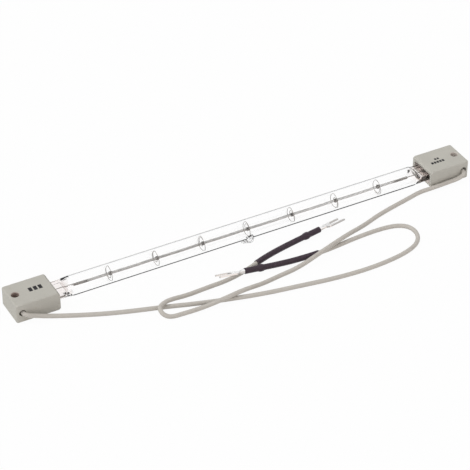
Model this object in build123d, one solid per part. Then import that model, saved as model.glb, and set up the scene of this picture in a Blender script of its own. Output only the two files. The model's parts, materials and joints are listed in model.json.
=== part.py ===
from build123d import *

import math
import os

# Double-ended quartz infrared heating lamp: a clear tube pressed flat at both ends, a coiled filament
# held on its axis by wire supports, two ceramic end caps, and two leads that end in fork lugs.
# Millimetres, +Z up, X along the tube, leads on the -Y side. The lamp lies on its end caps, and the
# origin is on that surface, midway between the caps.

# Quartz tube
tube_od = 10.0
tube_wall = 1.1
round_length = 194.5
transition_length = 4.0
seal_width = 12.4
seal_thickness = 2.8
seal_length = 11.5
seal_showing = 2.0
seal_rib_width = 1.2
seal_rib_height = 0.35
seal_rib_edge = 0.28
cavity_end_width = 8.0
cavity_end_height = 0.7

# Sealed-off exhaust tip: rings of a taper, each as its shift towards -X, its reach out of the tube's
# surface, its drop, its heading in degrees from +X towards -Y, and its diameter
tip_offset = 0.4
tip_rings = [
    (0.0, -tube_wall / 2, 0.0, 90, 4.8),
    (0.3, 1.1, 0.2, 100, 4.0),
    (1.7, 2.1, 0.5, 145, 2.9),
    (3.6, 2.4, 0.8, 170, 1.7),
    (5.6, 2.4, 1.0, 180, 0.7),
]

# Tungsten coil and its pins
coil_od = 1.4
coil_end_room = 3.75
coil_offset = 0.5
pin_diameter = 0.5
pin_bury = 1.6

# Wire supports
support_count = 7
support_end_gap = 18.5
support_offset = 1.8
support_wire = 0.4
support_clearance = 0.12
hub_turns = 3
hub_clearance = 0.03
hub_web = 0.28
ring_sweep = 300.0

# Sealing foils and outer pins
foil_width = 3.0
foil_thickness = 0.15
foil_length = 7.0
outer_pin_diameter = 0.8

# Ceramic caps
cap_length = 22.5
cap_width = 17.4
cap_height = 10.2
cap_corner_radius = 1.1
cap_edge_radius = 0.8
cap_mouth_chamfer = 1.2
pocket_depth = 14.5
pocket_width = 14.2
pocket_height = 5.8
pocket_corner_radius = 0.8
mount_hole_diameter = 3.7
mount_hole_inset = 3.4
mount_hole_chamfer = 0.3
channel_width = 3.8
channel_height = 3.8
channel_offset = 5.1
lead_hole_diameter = 3.4
lead_hole_inset = 3.1
lead_rise = 0.35

# Cement that holds each press seal in its cap
cement_recess = 5.0
cement_length = 4.0

# Splice between the outer pin and the lead, inside each cap
splice_inset = 10.4
splice_diameter = 2.0
splice_length = 2.4
splice_gap = 0.2
splice_entry = 1.0
core_diameter = 1.2
core_clearance = 0.05
wire_bend = 1.1

# Leads
cable_diameter = 2.2
cable_start_inset = 8.2
cable_hole_inset = 3.4
cable_standoff = 1.65
arc_share = 0.45
crossing_height = 4.4
sleeve_crossing_height = 5.1

# Sleeves over the lead ends
sleeve_wall = 0.3
sleeve_clearance = 0.05
sleeve_start_share = 0.5
sleeve_joint = 1.0
sleeve_swell = 0.7
sleeve_shortfall = 0.4

# Fork lugs
barrel_diameter = 2.3
barrel_length = 9.5
bell_diameter = 3.0
bell_length = 2.2
bell_straight = 1.3
barrel_end_wall = 0.8
neck_length = 3.2
neck_width = 3.4
blade_thickness = 0.8
blade_width = 7.0
blade_length = 10.6
slot_width = 4.3
slot_depth = 7.4
shoulder_radius = 1.6
prong_tip_radius = 0.55
blade_roll = 28.0
core_reach = 6.0
core_end_clearance = 0.1

os.makedirs("parts", exist_ok=True)

# Values worked out from the sizes above
axis_z = cap_height / 2
tube_bore = tube_od - 2 * tube_wall
coil_length = round_length - 2 * coil_end_room
support_pitch = (coil_length - 2 * support_end_gap) / (support_count - 1)
seal_start = round_length / 2 + transition_length
cap_inner = seal_start + seal_showing
cap_outer = cap_inner + cap_length
seal_end = seal_start + seal_length
foil_start = seal_start + pin_bury
foil_end = foil_start + foil_length
exit_z = axis_z + lead_rise
floor_z = cable_diameter / 2
exit_y = -(cap_width / 2 + cable_standoff)


def along(inset):
    """Distance from the middle of the lamp to a place that lies inset from a cap's outer end."""
    return cap_outer - inset


# Route points of the lead from the left cap, from its splice to the end of its insulation
left_route = [
    (-along(cable_start_inset), -channel_offset, axis_z),
    (-along(cable_hole_inset), -channel_offset, axis_z),
    (-along(cable_hole_inset), exit_y, axis_z),
    (-117.6, -10.9, 3.4),
    (-110.0, -12.6, 1.6),
    (-99.5, -17.0, floor_z),
    (-87.0, -22.4, floor_z),
    (-74.5, -26.8, floor_z),
    (-60.0, -31.1, floor_z),
    (-45.0, -36.3, floor_z),
    (-30.0, -40.5, floor_z),
    (-13.5, -44.6, floor_z),
    (4.0, -47.4, floor_z),
    (20.5, -50.2, floor_z),
    (38.0, -51.6, floor_z),
    (52.5, -50.9, floor_z),
    (63.5, -49.0, floor_z),
    (71.6, -45.6, floor_z),
    (77.0, -39.4, floor_z),
    (77.2, -31.9, floor_z),
    (71.6, -27.4, floor_z),
    (62.0, -26.2, floor_z),
    (48.0, -27.2, floor_z),
    (31.0, -29.5, 1.4),
    (18.5, -29.85, 1.7),
    (5.5, -29.6, 2.25),
    (-6.0, -28.4, 2.95),
]
left_sleeve_run = 23

# Route points of the lead from the right cap
right_route = [
    (along(cable_start_inset), -channel_offset, axis_z),
    (along(cable_hole_inset), -channel_offset, axis_z),
    (along(cable_hole_inset), exit_y, axis_z),
    (117.8, -11.1, 3.2),
    (110.5, -10.5, 1.6),
    (101.0, -10.2, floor_z),
    (90.0, -11.2, floor_z),
    (79.0, -13.4, floor_z),
    (67.5, -16.3, floor_z),
    (56.0, -20.6, 1.3),
    (43.5, -25.9, 4.6),
    (23.5, -33.2, sleeve_crossing_height),
    (10.5, -35.1, 1.5),
    (-0.5, -36.0, floor_z),
    (-11.0, -37.7, 1.3),
    (-21.5, -40.0, crossing_height),
    (-34.0, -41.7, crossing_height),
    (-44.8, -40.3, 1.3),
    (-55.2, -39.8, floor_z),
    (-60.9, -39.5, 1.2),
    (-63.7, -37.6, 2.5),
    (-64.2, -34.4, 4.0),
    (-62.3, -31.9, crossing_height),
    (-57.0, -29.9, 4.2),
    (-46.5, -28.6, 1.4),
    (-35.5, -27.6, floor_z),
    (-24.0, -27.3, floor_z),
    (-12.4, -24.9, 1.4),
    (0.6, -20.2, 1.65),
    (14.3, -17.2, 1.8),
    (25.6, -15.3, 1.9),
]
right_sleeve_run = 27


def save(part, node):
    """Write one sub-part under the name of its node."""
    part.label = node
    export_step(part, f"parts/{node}.step")


def cylinder_x(diameter, x_from, x_to, y, z):
    """Solid rod along X between two places."""
    centre = ((x_from + x_to) / 2, y, z)
    return Pos(*centre) * Rot(0, 90, 0) * Cylinder(diameter / 2, abs(x_to - x_from))


def flat_profile(x, width, height):
    """Flat upright section with round edges, across the tube axis at x."""
    return Plane(origin=(x, 0, axis_z), x_dir=(0, 1, 0), z_dir=(1, 0, 0)) * SlotOverall(width, height)


def round_profile(x, diameter):
    """Circle across the tube axis at x."""
    return Plane(origin=(x, 0, axis_z), x_dir=(0, 1, 0), z_dir=(1, 0, 0)) * Circle(diameter / 2)


def transition(side, round_diameter, width, height):
    """Loft from the round tube to the flat press seal."""
    start = round_profile(side * round_length / 2, round_diameter)
    end = flat_profile(side * seal_start, width, height)
    return loft([start, end])


def press_seal(side):
    """Flat seal with a raised rib near each of its long edges, top and bottom."""
    seal = extrude(flat_profile(side * seal_start, seal_width, seal_thickness), side * seal_length)
    rib_y = seal_width / 2 - seal_rib_width
    rib_x = side * (seal_start + seal_end) / 2
    rib_height = seal_thickness + 2 * seal_rib_height
    for y in (-rib_y, rib_y):
        rib = Pos(rib_x, y, axis_z) * Box(seal_length, seal_rib_width, rib_height)
        seal += fillet(rib.edges().filter_by(Axis.X), seal_rib_edge)
    return seal


def exhaust_tip():
    """Taper lofted through its rings, from inside the wall out to the drawn-off tail."""
    sections = []
    for shift, reach, drop, heading, diameter in tip_rings:
        direction = (math.cos(math.radians(heading)), -math.sin(math.radians(heading)), 0)
        centre = (tip_offset - shift, -(tube_od / 2 + reach), axis_z - drop)
        sections.append(Plane(origin=centre, z_dir=direction) * Circle(diameter / 2))
    return loft(sections)


def quartz_tube():
    """Hollow envelope: round stretch, lofted ends, press seals and exhaust tip, with room for the metal."""
    body = cylinder_x(tube_od, -round_length / 2, round_length / 2, 0, axis_z)
    body += exhaust_tip()
    cavity = cylinder_x(tube_bore, -round_length / 2, round_length / 2, 0, axis_z)
    for side in (-1, 1):
        body += transition(side, tube_od, seal_width, seal_thickness)
        body += press_seal(side)
        cavity += transition(side, tube_bore, cavity_end_width, cavity_end_height)
    tube = body - cavity
    for side in (-1, 1):
        tube -= inner_pin(side)
        tube -= sealing_foil(side)
        tube -= cylinder_x(outer_pin_diameter, side * foil_end, side * seal_end, 0, axis_z)
    return tube


def coil_end(side):
    """Place along X where the coil ends."""
    return coil_offset + side * coil_length / 2


def inner_pin(side):
    """Pin from the end of the coil to the foil in the seal."""
    return cylinder_x(pin_diameter, coil_end(side), side * foil_start, 0, axis_z)


def sealing_foil(side):
    """Foil that carries the current through the press seal."""
    centre = (side * (foil_start + foil_end) / 2, 0, axis_z)
    return Pos(*centre) * Box(foil_length, foil_width, foil_thickness)


def filament_coil():
    """Envelope of the close-wound tungsten coil."""
    return cylinder_x(coil_od, coil_end(-1), coil_end(1), 0, axis_z)


def spiral_arm(hub_radius, ring_radius):
    """Spiral of tangent arcs across the tube, from the hub out to the ring that bears on the tube's wall."""
    middle_radius = (hub_radius + ring_radius) / 2
    first = CenterArc((0, 0), hub_radius, 0, 180)
    second = CenterArc((middle_radius - hub_radius, 0), middle_radius, 180, 180)
    third_centre = 2 * middle_radius - hub_radius - ring_radius
    third = CenterArc((third_centre, 0), ring_radius, 0, ring_sweep)
    spiral = Wire([first.edge(), second.edge(), third.edge()])
    path = Plane(origin=(0, 0, 0), x_dir=(0, 1, 0), z_dir=(1, 0, 0)) * spiral
    section = Plane(origin=path @ 0, z_dir=path % 0) * Circle(support_wire / 2)
    return sweep(section, path=path)


def coil_support(x):
    """Hub of close turns on the coil, and the spiral ring that keeps it on the axis."""
    inside = coil_od / 2 + hub_clearance
    centre_radius = inside + support_wire / 2
    hub_length = hub_turns * support_wire
    profile = Sketch()
    for turn in range(hub_turns):
        place = (turn + 0.5) * support_wire - hub_length / 2
        profile += Pos(place, centre_radius) * Circle(support_wire / 2)
    profile += Pos(0, centre_radius) * Rectangle(hub_length - support_wire, hub_web)
    hub = revolve(profile, Axis.X, 360)
    ring_radius = tube_bore / 2 - support_clearance - support_wire / 2
    return Pos(x, 0, axis_z) * (hub + spiral_arm(centre_radius, ring_radius))


def outer_pin(side):
    """Pin from the foil out of the seal and round into the splice."""
    corner = side * along(splice_inset)
    inside_y = splice_span()[0] - splice_entry
    corners = [(side * foil_end, 0, axis_z), (corner, 0, axis_z), (corner, inside_y, axis_z)]
    path = FilletPolyline(corners, radius=wire_bend)
    return sweep(Plane(origin=path @ 0, z_dir=path % 0) * Circle(outer_pin_diameter / 2), path=path)


def splice_span():
    """Y places where the splice starts and ends."""
    start = -(splice_gap + wire_bend)
    return start, start - splice_length


def splice_sleeve(side):
    """Crimped sleeve across the cap, with a bore for the pin and one for the lead's core."""
    start, end = splice_span()
    middle = (start + end) / 2
    x = side * along(splice_inset)
    body = Pos(x, middle, axis_z) * Rot(90, 0, 0) * Cylinder(splice_diameter / 2, splice_length)
    half = splice_length / 4
    for y, diameter in ((start - half, outer_pin_diameter), (end + half, core_diameter)):
        body -= Pos(x, y, axis_z) * Rot(90, 0, 0) * Cylinder(diameter / 2 + core_clearance, 2 * half)
    return body


def lead_core(side):
    """Bare core from the lead's insulation round into the splice."""
    x = side * along(splice_inset)
    first = (side * along(cable_start_inset), -channel_offset, axis_z)
    last = (x, splice_span()[1] + splice_entry, axis_z)
    path = FilletPolyline([first, (x, -channel_offset, axis_z), last], radius=wire_bend)
    return sweep(Plane(origin=path @ 0, z_dir=path % 0) * Circle(core_diameter / 2), path=path)


def ceramic_cap():
    """Steatite block of the +X end: mounting hole, pocket for the seal, and a channel and hole for the lead."""
    low, high = cap_mouth_chamfer, cap_height - cap_mouth_chamfer
    shoulder = cap_inner + cap_mouth_chamfer
    outline = Polyline(
        (cap_inner, low),
        (shoulder, 0),
        (cap_outer, 0),
        (cap_outer, cap_height),
        (shoulder, cap_height),
        (cap_inner, high),
        close=True,
    )
    block = extrude(Plane.XZ * make_face(outline), cap_width / 2, both=True)
    outer_face = block.faces().sort_by(Axis.X)[-1]
    block = fillet(outer_face.edges().filter_by(Axis.Z), cap_corner_radius)
    faces = block.faces().sort_by(Axis.Z)
    rims = faces[-1].edges() + faces[0].edges()
    block = fillet([edge for edge in rims if edge.center().X > shoulder + cap_edge_radius], cap_edge_radius)

    pocket = Pos(cap_inner + pocket_depth / 2, 0, axis_z) * Box(pocket_depth, pocket_width, pocket_height)
    block -= fillet(pocket.edges().filter_by(Axis.X), pocket_corner_radius)

    channel_inner = cap_inner + pocket_depth - channel_width
    channel_outer = along(lead_hole_inset)
    channel = SlotCenterToCenter(channel_outer - channel_inner, channel_width)
    middle = ((channel_inner + channel_outer) / 2, -channel_offset, exit_z)
    block -= Pos(*middle) * extrude(channel, channel_height / 2, both=True)

    hole_y = -(cap_width / 2 + channel_offset) / 2
    hole_length = cap_width / 2 - channel_offset
    hole = Cylinder(lead_hole_diameter / 2, hole_length)
    block -= Pos(along(lead_hole_inset), hole_y, exit_z) * Rot(90, 0, 0) * hole

    mount = Pos(0, 0, cap_height / 2) * Cylinder(mount_hole_diameter / 2, cap_height)
    wide = mount_hole_diameter / 2 + mount_hole_chamfer
    base = (Align.CENTER, Align.CENTER, Align.MIN)
    for end, tilt in ((cap_height, 180), (0, 0)):
        cone = Cone(wide, mount_hole_diameter / 2, mount_hole_chamfer, align=base)
        mount += Pos(0, 0, end) * Rot(tilt, 0, 0) * cone
    return block - Pos(along(mount_hole_inset), 0, 0) * mount


def cement(side):
    """Plug of cement round the press seal, set back in the pocket."""
    middle = side * (cap_inner + cement_recess + cement_length / 2)
    plug = Pos(middle, 0, axis_z) * Box(cement_length, pocket_width, pocket_height)
    plug = fillet(plug.edges().filter_by(Axis.X), pocket_corner_radius)
    return plug - press_seal(side)


def arc_radii(points):
    """Radius at each inner corner: a share of the shorter run beside it, over the tangent of half the turn."""
    radii = []
    for before, corner, after in zip(points, points[1:], points[2:]):
        run_in = Vector(*corner) - Vector(*before)
        run_out = Vector(*after) - Vector(*corner)
        half_turn = math.radians(run_in.get_angle(run_out) / 2)
        radii.append(arc_share * min(run_in.length, run_out.length) / math.tan(half_turn))
    return radii


def cable(name, route):
    """Plain tube of a lead along its route."""
    radii = arc_radii(route)
    path = FilletPolyline(route, radius=radii)
    solid = sweep(Plane(origin=path @ 0, z_dir=path % 0) * Circle(cable_diameter / 2), path=path)
    print(name, "length", round(path.length, 1), "radii", [round(radius, 1) for radius in radii])
    print(name, "volume", round(solid.volume, 1), "section x length", round(math.pi * floor_z**2 * path.length, 1))
    return solid


def end_frame(route, roll):
    """Plane at the end of the insulation: X runs on along the lead, Z is square to the lug's blade."""
    end = Vector(*route[-1])
    heading = (end - Vector(*route[-2])).normalized()
    across = Vector(0, 0, 1).cross(heading).normalized()
    upright = heading.cross(across)
    upright = upright.rotate(Axis((0, 0, 0), tuple(heading)), roll)
    return Plane(origin=end, x_dir=heading, z_dir=upright)


def rod_on_axis(diameter, start, end):
    """Rod on the local X axis."""
    return Pos((start + end) / 2, 0, 0) * Rot(0, 90, 0) * Cylinder(diameter / 2, end - start)


def fork_lug():
    """Crimp barrel with a belled mouth, flattened neck and forked blade, along local X."""
    outline = Polyline(
        (0, 0),
        (0, bell_diameter / 2),
        (bell_straight, bell_diameter / 2),
        (bell_length, barrel_diameter / 2),
        (barrel_length, barrel_diameter / 2),
        (barrel_length, 0),
        close=True,
    )
    barrel = revolve(make_face(outline), Axis.X, 360)
    barrel_bore = core_diameter + 2 * core_end_clearance
    barrel -= rod_on_axis(barrel_bore, 0, barrel_length - barrel_end_wall)

    mouth = Plane(origin=(barrel_length, 0, 0), x_dir=(0, 1, 0), z_dir=(1, 0, 0)) * Circle(barrel_diameter / 2)
    blade_start = barrel_length + neck_length
    across = Plane(origin=(blade_start, 0, 0), x_dir=(0, 1, 0), z_dir=(1, 0, 0))
    neck = loft([mouth, across * Rectangle(neck_width, blade_thickness)])

    plate = Pos(blade_start + blade_length / 2, 0) * Rectangle(blade_length, blade_width)
    plate = fillet(plate.vertices().group_by(Axis.X)[0], shoulder_radius)
    slot_end = blade_start + blade_length
    slot_radius = slot_width / 2
    straight = slot_depth - slot_radius
    plate -= Pos(slot_end - straight / 2, 0) * Rectangle(straight, slot_width)
    plate -= Pos(slot_end - straight, 0) * Circle(slot_radius)
    plate = fillet(plate.vertices().group_by(Axis.X)[-1], prong_tip_radius)
    blade = Pos(0, 0, -blade_thickness / 2) * extrude(plate, blade_thickness)
    return barrel + neck + blade


def sleeve(route, first_run, frame):
    """Dark sleeve: a tube along the lead's last runs that swells over the bell and ends near the barrel's end."""
    radii = arc_radii(route)[first_run:]
    before = Vector(*route[first_run])
    after = Vector(*route[first_run + 1])
    start = before + (after - before) * sleeve_start_share
    finish = frame.origin - frame.x_dir * sleeve_joint
    corners = [tuple(start)] + route[first_run + 1 : -1] + [tuple(finish)]
    path = FilletPolyline(corners, radius=radii)
    inside = cable_diameter / 2 + sleeve_clearance
    outside = inside + sleeve_wall
    section = Circle(outside) - Circle(inside)
    tube = sweep(Plane(origin=path @ 0, z_dir=path % 0) * section, path=path)

    bell = bell_diameter / 2 + sleeve_clearance
    barrel = barrel_diameter / 2 + sleeve_clearance
    inner = [
        (-sleeve_joint, inside),
        (-sleeve_swell, inside),
        (-sleeve_clearance, bell),
        (bell_straight + sleeve_clearance, bell),
        (bell_length + sleeve_clearance, barrel),
        (barrel_length - sleeve_shortfall, barrel),
    ]
    outer = [(x, y + sleeve_wall) for x, y in reversed(inner)]
    profile = Polyline(inner + outer, close=True)
    swell = revolve(make_face(profile), Axis.X, 360)
    return tube + frame * swell


lug_shape = fork_lug()
cap_shape = ceramic_cap()


def build_side(name, side, route, sleeve_run):
    """Every sub-part that belongs to one end of the lamp."""
    save(inner_pin(side), f"{name}_inner_pin")
    save(sealing_foil(side), f"{name}_sealing_foil")
    save(outer_pin(side), f"{name}_outer_pin")
    save(cap_shape if side > 0 else mirror(cap_shape, about=Plane.YZ), f"{name}_ceramic_cap")
    save(cement(side), f"{name}_cement")
    save(splice_sleeve(side), f"{name}_splice")
    save(lead_core(side), f"{name}_lead_core")
    save(cable(name, route), f"{name}_lead")
    frame = end_frame(route, -side * blade_roll)
    save(frame * rod_on_axis(core_diameter, 0, core_reach), f"{name}_core_end")
    save(frame * lug_shape, f"{name}_fork_lug")
    save(sleeve(route, sleeve_run, frame), f"{name}_sleeve")


save(quartz_tube(), "quartz_tube")
save(filament_coil(), "filament_coil")
for index in range(support_count):
    place = support_offset + (index - (support_count - 1) / 2) * support_pitch
    save(coil_support(place), f"coil_support_{index + 1}")
build_side("left", -1, left_route, left_sleeve_run)
build_side("right", 1, right_route, right_sleeve_run)
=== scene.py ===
import json
import math

import bpy
import numpy as np
from bpy.props import FloatProperty, FloatVectorProperty, IntProperty, PointerProperty
from mathutils import Matrix, Vector


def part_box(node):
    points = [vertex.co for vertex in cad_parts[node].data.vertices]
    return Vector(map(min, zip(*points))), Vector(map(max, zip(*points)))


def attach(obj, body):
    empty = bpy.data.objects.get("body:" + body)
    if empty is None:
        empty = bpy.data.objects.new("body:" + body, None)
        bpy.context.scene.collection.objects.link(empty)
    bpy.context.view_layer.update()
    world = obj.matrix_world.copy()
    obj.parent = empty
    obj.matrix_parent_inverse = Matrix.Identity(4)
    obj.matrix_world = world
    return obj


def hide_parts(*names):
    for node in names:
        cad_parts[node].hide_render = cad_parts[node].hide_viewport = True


# Dresses the solids of a quartz heating tube: clear glass round a wound filament, finishes for the
# ceramic caps, smooth leads with dark sleeves, tinned fork lugs and a pale studio. Metres, +Z up.

bl_info = {
    "name": "Quartz Heating Tube",
    "version": (1, 0, 0),
    "blender": (4, 5, 0),
    "location": "View3D > Sidebar > Heating Tube",
    "description": "Builds the glass, filament, leads, lugs and finishes of a quartz heating tube",
    "category": "Object",
}

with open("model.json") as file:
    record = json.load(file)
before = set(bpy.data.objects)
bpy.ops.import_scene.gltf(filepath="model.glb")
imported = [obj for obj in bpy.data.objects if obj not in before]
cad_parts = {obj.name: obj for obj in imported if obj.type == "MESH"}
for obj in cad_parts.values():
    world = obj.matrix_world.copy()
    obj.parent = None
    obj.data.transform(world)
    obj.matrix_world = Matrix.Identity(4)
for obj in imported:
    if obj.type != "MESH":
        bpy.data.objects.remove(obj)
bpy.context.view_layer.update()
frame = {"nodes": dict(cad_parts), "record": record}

MM = 0.001
BODY = "root"
SIDES = ("left", "right")
WHITE = (1.0, 1.0, 1.0)
BLACK = (0.0, 0.0, 0.0)

tube_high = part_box("quartz_tube")[1]
coil_low, coil_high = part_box("filament_coil")
cap_low, cap_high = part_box("right_ceramic_cap")
AXIS_Z = (coil_low.z + coil_high.z) / 2
COIL_RADIUS = (coil_high.z - coil_low.z) / 2

cap_hole = next(mount for mount in frame["record"]["mounts"] if mount["name"] == "right_cap_hole")
HOLE_X = cap_hole["pos_m"][0]
HOLE_RADIUS = cap_hole["dims"]["r_mm"] * MM

# Pocket for the seal in each cap's inner face, with a little room round it, where the ceramic's finish
# paints light
POCKET_MIDDLE = cap_low.x + 7.9 * MM
POCKET_HALF_DEPTH = 7.7 * MM
POCKET_HALF_WIDTH = 7.3 * MM
POCKET_HALF_HEIGHT = 3.1 * MM

# Rows of printed bars: middle, pitch, count, the bar's share of the pitch, height
BAR_ROWS = (
    ((-111.9 * MM, 0.3 * MM), 2.5 * MM, 3, 0.72, 3.0 * MM),
    ((111.3 * MM, -1.8 * MM), 1.6 * MM, 5, 0.78, 1.7 * MM),
    ((112.2 * MM, 0.8 * MM), 1.5 * MM, 2, 0.75, 1.4 * MM),
)

# Control points of each lead's smooth line, from inside its cap to the end of its insulation
ROUTES = {
    "left": [
        (-0.11755, -0.0051, 0.0051),
        (-0.12235, -0.0051, 0.0051),
        (-0.12235, -0.01045, 0.0054),
        (-0.1176, -0.0109, 0.0035),
        (-0.1100, -0.0126, 0.0016),
        (-0.0995, -0.0170, 0.0011),
        (-0.0870, -0.0224, 0.0011),
        (-0.0745, -0.0268, 0.0011),
        (-0.0600, -0.0311, 0.0011),
        (-0.0450, -0.0363, 0.0011),
        (-0.0300, -0.0405, 0.0011),
        (-0.0135, -0.0446, 0.0011),
        (0.0040, -0.0474, 0.0011),
        (0.0205, -0.0502, 0.0011),
        (0.0380, -0.0516, 0.0011),
        (0.0525, -0.0509, 0.0011),
        (0.0635, -0.0490, 0.0011),
        (0.0716, -0.0456, 0.0011),
        (0.0760, -0.0396, 0.0011),
        (0.0762, -0.0325, 0.0011),
        (0.0712, -0.0281, 0.0011),
        (0.0620, -0.0267, 0.0011),
        (0.0480, -0.0272, 0.0011),
        (0.0310, -0.0295, 0.0014),
        (0.0185, -0.02985, 0.0017),
        (0.0055, -0.0296, 0.00225),
        (-0.0060, -0.0284, 0.00295),
    ],
    "right": [
        (0.11755, -0.0051, 0.0051),
        (0.12235, -0.0051, 0.0051),
        (0.1225, -0.0109, 0.0048),
        (0.1188, -0.0105, 0.0026),
        (0.1120, -0.0103, 0.0022),
        (0.1030, -0.0103, 0.00185),
        (0.0960, -0.0096, 0.0013),
        (0.0885, -0.0113, 0.0011),
        (0.0790, -0.0134, 0.0011),
        (0.0675, -0.0163, 0.0011),
        (0.0560, -0.0206, 0.0012),
        (0.0435, -0.0259, 0.0037),
        (0.0235, -0.0332, 0.0044),
        (0.0105, -0.0351, 0.0014),
        (-0.0005, -0.0360, 0.0011),
        (-0.0110, -0.0377, 0.0012),
        (-0.0215, -0.0400, 0.0035),
        (-0.0340, -0.0417, 0.0035),
        (-0.0448, -0.0403, 0.0012),
        (-0.0552, -0.0398, 0.0011),
        (-0.0609, -0.0395, 0.0012),
        (-0.0637, -0.0376, 0.0022),
        (-0.0642, -0.0344, 0.0034),
        (-0.0623, -0.0319, 0.0036),
        (-0.0570, -0.0299, 0.0034),
        (-0.0465, -0.0286, 0.0013),
        (-0.0355, -0.0276, 0.0011),
        (-0.0240, -0.0273, 0.0011),
        (-0.0124, -0.0249, 0.0014),
        (0.0006, -0.0202, 0.00165),
        (0.0143, -0.0172, 0.0018),
        (0.0256, -0.0153, 0.0019),
    ],
}
# How far each sleeve reaches back along its lead's smooth line
SLEEVE_ON_LEAD = {"left": 0.0310, "right": 0.0324}


def distance_setting(name, description, default):
    """A setting that is a length in metres."""
    return FloatProperty(name=name, description=description, default=default, subtype="DISTANCE")


def colour_setting(name, description, default):
    """A setting that is a colour."""
    return FloatVectorProperty(name=name, description=description, default=default, size=3, subtype="COLOR")


class TubeSettings(bpy.types.PropertyGroup):
    """Sizes of the glass envelope."""

    outside: distance_setting("Outside", "Outside diameter", 10 * MM)
    wall: distance_setting("Wall", "Thickness of the wall", 1.1 * MM)
    round_left: distance_setting("Round, left", "Reach of the round stretch to the left", 94 * MM)
    round_right: distance_setting("Round, right", "Reach of the round stretch to the right", 96 * MM)
    shoulder: distance_setting("Shoulder", "Length from round to flat", 4 * MM)
    seal_width: distance_setting("Seal width", "Width of the press seal", 12.4 * MM)
    seal_thickness: distance_setting("Seal thickness", "Thickness of the press seal", 2.8 * MM)
    rib_height: distance_setting("Rib", "Height of the ribs along the seal", 0.3 * MM)


class FilamentSettings(bpy.types.PropertyGroup):
    """Sizes of the coil and its wire supports."""

    wire: distance_setting("Coil wire", "Diameter of the coil's wire", 0.29 * MM)
    close: distance_setting("Close pitch", "Advance of one turn at the ends", 0.31 * MM)
    open_left: distance_setting("Open pitch, left", "Advance of one turn, left", 0.52 * MM)
    open_right: distance_setting("Open pitch, right", "Advance of one turn, right", 0.74 * MM)
    close_length: distance_setting("Close length", "Length of the close turns", 6 * MM)
    sag: distance_setting("Sag", "Droop of the coil between supports", 0.14 * MM)
    settle_left: distance_setting("Settle, left", "Droop of the supports, left", 0.26 * MM)
    settle_right: distance_setting("Settle, right", "Droop of the supports, right", 0.06 * MM)
    support_wire: distance_setting("Support wire", "Diameter of a support's wire", 0.28 * MM)
    hub_turns: IntProperty(name="Hub turns", description="Close turns of a support on the coil", default=4)
    ring_shift: distance_setting("Ring shift", "Place of the ring beside its hub", -0.8 * MM)


class LeadSettings(bpy.types.PropertyGroup):
    """Sizes of the leads and what is on them."""

    diameter: distance_setting("Lead", "Diameter over the insulation", 2.2 * MM)
    sleeve_wall: distance_setting("Sleeve wall", "Thickness of the sleeve", 0.3 * MM)
    bell: distance_setting("Bell", "Diameter of the barrel's belled mouth", 3.0 * MM)
    barrel: distance_setting("Barrel", "Diameter of the lug's barrel", 2.3 * MM)
    barrel_length: distance_setting("Barrel length", "Length of the lug's barrel", 9.5 * MM)


class FinishSettings(bpy.types.PropertyGroup):
    """Colours of the finishes."""

    ceramic: colour_setting("Ceramic", "Unglazed steatite", (0.52, 0.505, 0.455))
    lead: colour_setting("Insulation", "Silicone insulation", (0.55, 0.52, 0.475))
    sleeve: colour_setting("Sleeve", "Dark heat-resistant sleeve", (0.040, 0.025, 0.036))
    tin: colour_setting("Tin", "Tin plating", (0.93, 0.925, 0.92))
    tungsten: colour_setting("Tungsten", "Drawn tungsten wire", (0.30, 0.28, 0.26))
    ink: colour_setting("Ink", "Fired dark ink", (0.012, 0.011, 0.013))


class StageSettings(bpy.types.PropertyGroup):
    """Camera, floor and light."""

    azimuth: FloatProperty(
        name="Azimuth", description="From +Y towards +X", default=math.radians(28.60), subtype="ANGLE"
    )
    elevation: FloatProperty(
        name="Elevation", description="Below the horizon", default=math.radians(36.574), subtype="ANGLE"
    )
    roll: FloatProperty(
        name="Roll", description="About the line of sight", default=math.radians(0.126), subtype="ANGLE"
    )
    lens: FloatProperty(name="Lens", description="Focal length", default=160.85, unit="CAMERA")
    place: FloatVectorProperty(
        name="Place",
        description="Where the camera stands",
        size=3,
        subtype="TRANSLATION",
        default=(-0.401403, -0.726501, 0.617624),
    )
    sky: FloatProperty(name="Sky", description="Level of the light from all round", default=0.62)
    sun: FloatProperty(name="Sun", description="Strength of the light from above", default=1.05)
    fill: FloatProperty(name="Fill", description="Strength of the warm light from the front", default=0.46)
    backdrop: FloatProperty(
        name="Backdrop", description="Share of plain white in the floor", default=0.96, subtype="FACTOR"
    )
    near: distance_setting("Near", "How far the floor stays white", 0.35)
    far: distance_setting("Far", "Where the floor is dark", 1.1)
    surroundings: FloatProperty(
        name="Surroundings", description="Level of the dark surroundings", default=0.35, subtype="FACTOR"
    )


class TubeProject(bpy.types.PropertyGroup):
    """All the settings, one group for each part of the work."""

    tube: PointerProperty(type=TubeSettings)
    filament: PointerProperty(type=FilamentSettings)
    leads: PointerProperty(type=LeadSettings)
    finish: PointerProperty(type=FinishSettings)
    stage: PointerProperty(type=StageSettings)


def grid_faces(rows, columns, close_rows=False):
    """Quads of a grid whose columns wrap round: each joins a point to the next one in its row and to those
    two in the row after."""
    row = np.arange(rows if close_rows else rows - 1)[:, None]
    column = np.arange(columns)[None, :]
    after = (row + 1) % rows
    beside = (column + 1) % columns
    quads = [
        row * columns + column,
        row * columns + beside,
        after * columns + beside,
        after * columns + column,
    ]
    return np.stack(quads, axis=-1).reshape(-1, 4)


def make_mesh(name, points, faces, extra_faces=()):
    """Mesh object of an array of points and an array of quads, with a few faces of other shapes."""
    mesh = bpy.data.meshes.new(name)
    mesh.from_pydata(points.reshape(-1, 3).tolist(), [], faces.tolist() + list(extra_faces))
    mesh.validate()
    mesh.shade_smooth()
    piece = bpy.data.objects.new(name, mesh)
    bpy.context.scene.collection.objects.link(piece)
    return piece


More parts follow.
